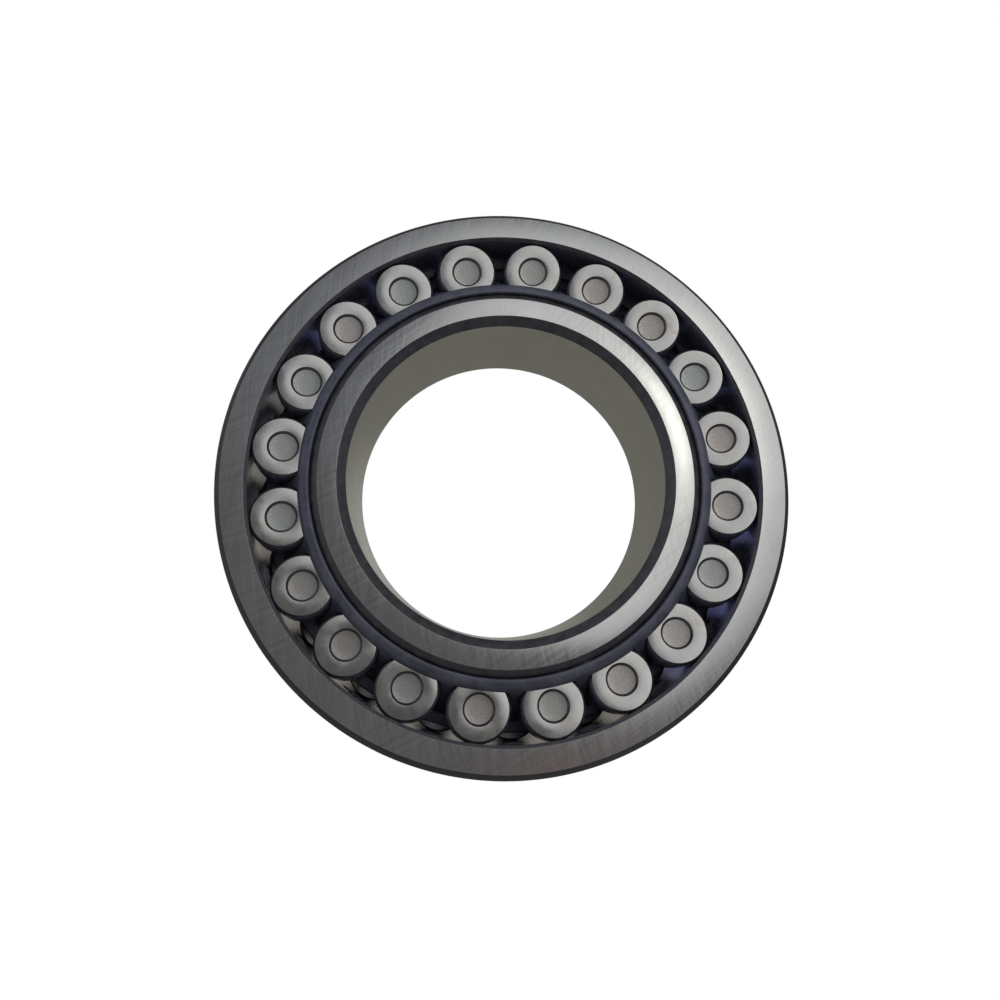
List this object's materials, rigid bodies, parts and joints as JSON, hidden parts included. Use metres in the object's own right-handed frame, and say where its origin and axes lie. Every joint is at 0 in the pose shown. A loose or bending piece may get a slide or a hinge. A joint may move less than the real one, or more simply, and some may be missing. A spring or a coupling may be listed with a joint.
{
  "type": "spherical roller bearing",
  "caption": "Self-aligning roller bearing: barrel rollers in pressed steel cages run between a grooved inner ring and an outer ring with a spherical raceway and an oil groove.",
  "frame": {"origin": "centre of the bearing, which is also the centre of the outer raceway's sphere", "axes": "+Z along the bearing's axis, out of the front face; +X through the middle of front_roller_01"},
  "size_m": [0.125, 0.125, 0.031],
  "materials": {
    "outer_ring_steel": "fine-ground bearing steel, neutral grey",
    "inner_ring_steel": "fine-ground bearing steel, faces slightly warm",
    "guide_ring_steel": "turned steel, satin",
    "cage_steel": "pressed sheet steel, hardened dark blue-black",
    "roller_steel": "fine-ground bearing steel, warm grey ends"
  },
  "bodies": {
    "outer_ring": {"outer_ring": "outer_ring_steel"},
    "guide_ring": {"guide_ring": "guide_ring_steel"},
    "inner_ring": {"inner_ring": "inner_ring_steel"},
    "front_cage": {"front_cage": "cage_steel"},
    "rear_cage": {"rear_cage": "cage_steel"},
    "front_roller_01": {"front_roller_01": "roller_steel"},
    "front_roller_02": {"front_roller_02": "roller_steel"},
    "front_roller_03": {"front_roller_03": "roller_steel"},
    "front_roller_04": {"front_roller_04": "roller_steel"},
    "front_roller_05": {"front_roller_05": "roller_steel"},
    "front_roller_06": {"front_roller_06": "roller_steel"},
    "front_roller_07": {"front_roller_07": "roller_steel"},
    "front_roller_08": {"front_roller_08": "roller_steel"},
    "front_roller_09": {"front_roller_09": "roller_steel"},
    "front_roller_10": {"front_roller_10": "roller_steel"},
    "front_roller_11": {"front_roller_11": "roller_steel"},
    "front_roller_12": {"front_roller_12": "roller_steel"},
    "front_roller_13": {"front_roller_13": "roller_steel"},
    "front_roller_14": {"front_roller_14": "roller_steel"},
    "front_roller_15": {"front_roller_15": "roller_steel"},
    "front_roller_16": {"front_roller_16": "roller_steel"},
    "front_roller_17": {"front_roller_17": "roller_steel"},
    "front_roller_18": {"front_roller_18": "roller_steel"},
    "front_roller_19": {"front_roller_19": "roller_steel"},
    "front_roller_20": {"front_roller_20": "roller_steel"},
    "rear_roller_01": {"rear_roller_01": "roller_steel"},
    "rear_roller_02": {"rear_roller_02": "roller_steel"},
    "rear_roller_03": {"rear_roller_03": "roller_steel"},
    "rear_roller_04": {"rear_roller_04": "roller_steel"},
    "rear_roller_05": {"rear_roller_05": "roller_steel"},
    "rear_roller_06": {"rear_roller_06": "roller_steel"},
    "rear_roller_07": {"rear_roller_07": "roller_steel"},
    "rear_roller_08": {"rear_roller_08": "roller_steel"},
    "rear_roller_09": {"rear_roller_09": "roller_steel"},
    "rear_roller_10": {"rear_roller_10": "roller_steel"},
    "rear_roller_11": {"rear_roller_11": "roller_steel"},
    "rear_roller_12": {"rear_roller_12": "roller_steel"},
    "rear_roller_13": {"rear_roller_13": "roller_steel"},
    "rear_roller_14": {"rear_roller_14": "roller_steel"},
    "rear_roller_15": {"rear_roller_15": "roller_steel"},
    "rear_roller_16": {"rear_roller_16": "roller_steel"},
    "rear_roller_17": {"rear_roller_17": "roller_steel"},
    "rear_roller_18": {"rear_roller_18": "roller_steel"},
    "rear_roller_19": {"rear_roller_19": "roller_steel"},
    "rear_roller_20": {"rear_roller_20": "roller_steel"}
  },
  "joints": [
    {"name": "swivel", "type": "hinge", "parent": "outer_ring", "child": "guide_ring", "pos_m": [0, 0, 0], "axis": [1, 0, 0], "range_deg": [-2.5, 2.5]},
    {"name": "inner_spin", "type": "hinge", "parent": "guide_ring", "child": "inner_ring", "pos_m": [0, 0, 0], "axis": [0, 0, 1], "continuous": true},
    {"name": "front_cage_spin", "type": "hinge", "parent": "guide_ring", "child": "front_cage", "pos_m": [0, 0, 0], "axis": [0, 0, 1], "continuous": true},
    {"name": "rear_cage_spin", "type": "hinge", "parent": "guide_ring", "child": "rear_cage", "pos_m": [0, 0, 0], "axis": [0, 0, 1], "continuous": true},
    {"name": "front_roller_01_spin", "type": "hinge", "parent": "front_cage", "child": "front_roller_01", "pos_m": [0.04997, 0, 0.00765], "axis": [-0.1513, 0, 0.9885], "continuous": true},
    {"name": "front_roller_02_spin", "type": "hinge", "parent": "front_cage", "child": "front_roller_02", "pos_m": [0.04752, 0.01544, 0.00765], "axis": [-0.1439, -0.0467, 0.9885], "continuous": true},
    {"name": "front_roller_03_spin", "type": "hinge", "parent": "front_cage", "child": "front_roller_03", "pos_m": [0.04043, 0.02937, 0.00765], "axis": [-0.1224, -0.0889, 0.9885], "continuous": true},
    {"name": "front_roller_04_spin", "type": "hinge", "parent": "front_cage", "child": "front_roller_04", "pos_m": [0.02937, 0.04043, 0.00765], "axis": [-0.0889, -0.1224, 0.9885], "continuous": true},
    {"name": "front_roller_05_spin", "type": "hinge", "parent": "front_cage", "child": "front_roller_05", "pos_m": [0.01544, 0.04752, 0.00765], "axis": [-0.0467, -0.1439, 0.9885], "continuous": true},
    {"name": "front_roller_06_spin", "type": "hinge", "parent": "front_cage", "child": "front_roller_06", "pos_m": [0, 0.04997, 0.00765], "axis": [0, -0.1513, 0.9885], "continuous": true},
    {"name": "front_roller_07_spin", "type": "hinge", "parent": "front_cage", "child": "front_roller_07", "pos_m": [-0.01544, 0.04752, 0.00765], "axis": [0.0467, -0.1439, 0.9885], "continuous": true},
    {"name": "front_roller_08_spin", "type": "hinge", "parent": "front_cage", "child": "front_roller_08", "pos_m": [-0.02937, 0.04043, 0.00765], "axis": [0.0889, -0.1224, 0.9885], "continuous": true},
    {"name": "front_roller_09_spin", "type": "hinge", "parent": "front_cage", "child": "front_roller_09", "pos_m": [-0.04043, 0.02937, 0.00765], "axis": [0.1224, -0.0889, 0.9885], "continuous": true},
    {"name": "front_roller_10_spin", "type": "hinge", "parent": "front_cage", "child": "front_roller_10", "pos_m": [-0.04752, 0.01544, 0.00765], "axis": [0.1439, -0.0467, 0.9885], "continuous": true},
    {"name": "front_roller_11_spin", "type": "hinge", "parent": "front_cage", "child": "front_roller_11", "pos_m": [-0.04997, 0, 0.00765], "axis": [0.1513, 0, 0.9885], "continuous": true},
    {"name": "front_roller_12_spin", "type": "hinge", "parent": "front_cage", "child": "front_roller_12", "pos_m": [-0.04752, -0.01544, 0.00765], "axis": [0.1439, 0.0467, 0.9885], "continuous": true},
    {"name": "front_roller_13_spin", "type": "hinge", "parent": "front_cage", "child": "front_roller_13", "pos_m": [-0.04043, -0.02937, 0.00765], "axis": [0.1224, 0.0889, 0.9885], "continuous": true},
    {"name": "front_roller_14_spin", "type": "hinge", "parent": "front_cage", "child": "front_roller_14", "pos_m": [-0.02937, -0.04043, 0.00765], "axis": [0.0889, 0.1224, 0.9885], "continuous": true},
    {"name": "front_roller_15_spin", "type": "hinge", "parent": "front_cage", "child": "front_roller_15", "pos_m": [-0.01544, -0.04752, 0.00765], "axis": [0.0467, 0.1439, 0.9885], "continuous": true},
    {"name": "front_roller_16_spin", "type": "hinge", "parent": "front_cage", "child": "front_roller_16", "pos_m": [0, -0.04997, 0.00765], "axis": [0, 0.1513, 0.9885], "continuous": true},
    {"name": "front_roller_17_spin", "type": "hinge", "parent": "front_cage", "child": "front_roller_17", "pos_m": [0.01544, -0.04752, 0.00765], "axis": [-0.0467, 0.1439, 0.9885], "continuous": true},
    {"name": "front_roller_18_spin", "type": "hinge", "parent": "front_cage", "child": "front_roller_18", "pos_m": [0.02937, -0.04043, 0.00765], "axis": [-0.0889, 0.1224, 0.9885], "continuous": true},
    {"name": "front_roller_19_spin", "type": "hinge", "parent": "front_cage", "child": "front_roller_19", "pos_m": [0.04043, -0.02937, 0.00765], "axis": [-0.1224, 0.0889, 0.9885], "continuous": true},
    {"name": "front_roller_20_spin", "type": "hinge", "parent": "front_cage", "child": "front_roller_20", "pos_m": [0.04752, -0.01544, 0.00765], "axis": [-0.1439, 0.0467, 0.9885], "continuous": true},
    {"name": "rear_roller_01_spin", "type": "hinge", "parent": "rear_cage", "child": "rear_roller_01", "pos_m": [0.04935, 0.00782, -0.00765], "axis": [0.1494, 0.0237, 0.9885], "continuous": true},
    {"name": "rear_roller_02_spin", "type": "hinge", "parent": "rear_cage", "child": "rear_roller_02", "pos_m": [0.04452, 0.02269, -0.00765], "axis": [0.1348, 0.0687, 0.9885], "continuous": true},
    {"name": "rear_roller_03_spin", "type": "hinge", "parent": "rear_cage", "child": "rear_roller_03", "pos_m": [0.03533, 0.03533, -0.00765], "axis": [0.107, 0.107, 0.9885], "continuous": true},
    {"name": "rear_roller_04_spin", "type": "hinge", "parent": "rear_cage", "child": "rear_roller_04", "pos_m": [0.02269, 0.04452, -0.00765], "axis": [0.0687, 0.1348, 0.9885], "continuous": true},
    {"name": "rear_roller_05_spin", "type": "hinge", "parent": "rear_cage", "child": "rear_roller_05", "pos_m": [0.00782, 0.04935, -0.00765], "axis": [0.0237, 0.1494, 0.9885], "continuous": true},
    {"name": "rear_roller_06_spin", "type": "hinge", "parent": "rear_cage", "child": "rear_roller_06", "pos_m": [-0.00782, 0.04935, -0.00765], "axis": [-0.0237, 0.1494, 0.9885], "continuous": true},
    {"name": "rear_roller_07_spin", "type": "hinge", "parent": "rear_cage", "child": "rear_roller_07", "pos_m": [-0.02269, 0.04452, -0.00765], "axis": [-0.0687, 0.1348, 0.9885], "continuous": true},
    {"name": "rear_roller_08_spin", "type": "hinge", "parent": "rear_cage", "child": "rear_roller_08", "pos_m": [-0.03533, 0.03533, -0.00765], "axis": [-0.107, 0.107, 0.9885], "continuous": true},
    {"name": "rear_roller_09_spin", "type": "hinge", "parent": "rear_cage", "child": "rear_roller_09", "pos_m": [-0.04452, 0.02269, -0.00765], "axis": [-0.1348, 0.0687, 0.9885], "continuous": true},
    {"name": "rear_roller_10_spin", "type": "hinge", "parent": "rear_cage", "child": "rear_roller_10", "pos_m": [-0.04935, 0.00782, -0.00765], "axis": [-0.1494, 0.0237, 0.9885], "continuous": true},
    {"name": "rear_roller_11_spin", "type": "hinge", "parent": "rear_cage", "child": "rear_roller_11", "pos_m": [-0.04935, -0.00782, -0.00765], "axis": [-0.1494, -0.0237, 0.9885], "continuous": true},
    {"name": "rear_roller_12_spin", "type": "hinge", "parent": "rear_cage", "child": "rear_roller_12", "pos_m": [-0.04452, -0.02269, -0.00765], "axis": [-0.1348, -0.0687, 0.9885], "continuous": true},
    {"name": "rear_roller_13_spin", "type": "hinge", "parent": "rear_cage", "child": "rear_roller_13", "pos_m": [-0.03533, -0.03533, -0.00765], "axis": [-0.107, -0.107, 0.9885], "continuous": true},
    {"name": "rear_roller_14_spin", "type": "hinge", "parent": "rear_cage", "child": "rear_roller_14", "pos_m": [-0.02269, -0.04452, -0.00765], "axis": [-0.0687, -0.1348, 0.9885], "continuous": true},
    {"name": "rear_roller_15_spin", "type": "hinge", "parent": "rear_cage", "child": "rear_roller_15", "pos_m": [-0.00782, -0.04935, -0.00765], "axis": [-0.0237, -0.1494, 0.9885], "continuous": true},
    {"name": "rear_roller_16_spin", "type": "hinge", "parent": "rear_cage", "child": "rear_roller_16", "pos_m": [0.00782, -0.04935, -0.00765], "axis": [0.0237, -0.1494, 0.9885], "continuous": true},
    {"name": "rear_roller_17_spin", "type": "hinge", "parent": "rear_cage", "child": "rear_roller_17", "pos_m": [0.02269, -0.04452, -0.00765], "axis": [0.0687, -0.1348, 0.9885], "continuous": true},
    {"name": "rear_roller_18_spin", "type": "hinge", "parent": "rear_cage", "child": "rear_roller_18", "pos_m": [0.03533, -0.03533, -0.00765], "axis": [0.107, -0.107, 0.9885], "continuous": true},
    {"name": "rear_roller_19_spin", "type": "hinge", "parent": "rear_cage", "child": "rear_roller_19", "pos_m": [0.04452, -0.02269, -0.00765], "axis": [0.1348, -0.0687, 0.9885], "continuous": true},
    {"name": "rear_roller_20_spin", "type": "hinge", "parent": "rear_cage", "child": "rear_roller_20", "pos_m": [0.04935, -0.00782, -0.00765], "axis": [0.1494, -0.0237, 0.9885], "continuous": true}
  ],
  "couplings": [
    {"joint": "front_cage_spin", "follows": "inner_spin", "ratio": 0.43126},
    {"joint": "rear_cage_spin", "follows": "inner_spin", "ratio": 0.43126},
    {"joint": "front_roller_01_spin", "follows": "inner_spin", "ratio": -3.5269},
    {"joint": "front_roller_02_spin", "follows": "inner_spin", "ratio": -3.5269},
    {"joint": "front_roller_03_spin", "follows": "inner_spin", "ratio": -3.5269},
    {"joint": "front_roller_04_spin", "follows": "inner_spin", "ratio": -3.5269},
    {"joint": "front_roller_05_spin", "follows": "inner_spin", "ratio": -3.5269},
    {"joint": "front_roller_06_spin", "follows": "inner_spin", "ratio": -3.5269},
    {"joint": "front_roller_07_spin", "follows": "inner_spin", "ratio": -3.5269},
    {"joint": "front_roller_08_spin", "follows": "inner_spin", "ratio": -3.5269},
    {"joint": "front_roller_09_spin", "follows": "inner_spin", "ratio": -3.5269},
    {"joint": "front_roller_10_spin", "follows": "inner_spin", "ratio": -3.5269},
    {"joint": "front_roller_11_spin", "follows": "inner_spin", "ratio": -3.5269},
    {"joint": "front_roller_12_spin", "follows": "inner_spin", "ratio": -3.5269},
    {"joint": "front_roller_13_spin", "follows": "inner_spin", "ratio": -3.5269},
    {"joint": "front_roller_14_spin", "follows": "inner_spin", "ratio": -3.5269},
    {"joint": "front_roller_15_spin", "follows": "inner_spin", "ratio": -3.5269},
    {"joint": "front_roller_16_spin", "follows": "inner_spin", "ratio": -3.5269},
    {"joint": "front_roller_17_spin", "follows": "inner_spin", "ratio": -3.5269},
    {"joint": "front_roller_18_spin", "follows": "inner_spin", "ratio": -3.5269},
    {"joint": "front_roller_19_spin", "follows": "inner_spin", "ratio": -3.5269},
    {"joint": "front_roller_20_spin", "follows": "inner_spin", "ratio": -3.5269},
    {"joint": "rear_roller_01_spin", "follows": "inner_spin", "ratio": -3.5269},
    {"joint": "rear_roller_02_spin", "follows": "inner_spin", "ratio": -3.5269},
    {"joint": "rear_roller_03_spin", "follows": "inner_spin", "ratio": -3.5269},
    {"joint": "rear_roller_04_spin", "follows": "inner_spin", "ratio": -3.5269},
    {"joint": "rear_roller_05_spin", "follows": "inner_spin", "ratio": -3.5269},
    {"joint": "rear_roller_06_spin", "follows": "inner_spin", "ratio": -3.5269},
    {"joint": "rear_roller_07_spin", "follows": "inner_spin", "ratio": -3.5269},
    {"joint": "rear_roller_08_spin", "follows": "inner_spin", "ratio": -3.5269},
    {"joint": "rear_roller_09_spin", "follows": "inner_spin", "ratio": -3.5269},
    {"joint": "rear_roller_10_spin", "follows": "inner_spin", "ratio": -3.5269},
    {"joint": "rear_roller_11_spin", "follows": "inner_spin", "ratio": -3.5269},
    {"joint": "rear_roller_12_spin", "follows": "inner_spin", "ratio": -3.5269},
    {"joint": "rear_roller_13_spin", "follows": "inner_spin", "ratio": -3.5269},
    {"joint": "rear_roller_14_spin", "follows": "inner_spin", "ratio": -3.5269},
    {"joint": "rear_roller_15_spin", "follows": "inner_spin", "ratio": -3.5269},
    {"joint": "rear_roller_16_spin", "follows": "inner_spin", "ratio": -3.5269},
    {"joint": "rear_roller_17_spin", "follows": "inner_spin", "ratio": -3.5269},
    {"joint": "rear_roller_18_spin", "follows": "inner_spin", "ratio": -3.5269},
    {"joint": "rear_roller_19_spin", "follows": "inner_spin", "ratio": -3.5269},
    {"joint": "rear_roller_20_spin", "follows": "inner_spin", "ratio": -3.5269}
  ]
}
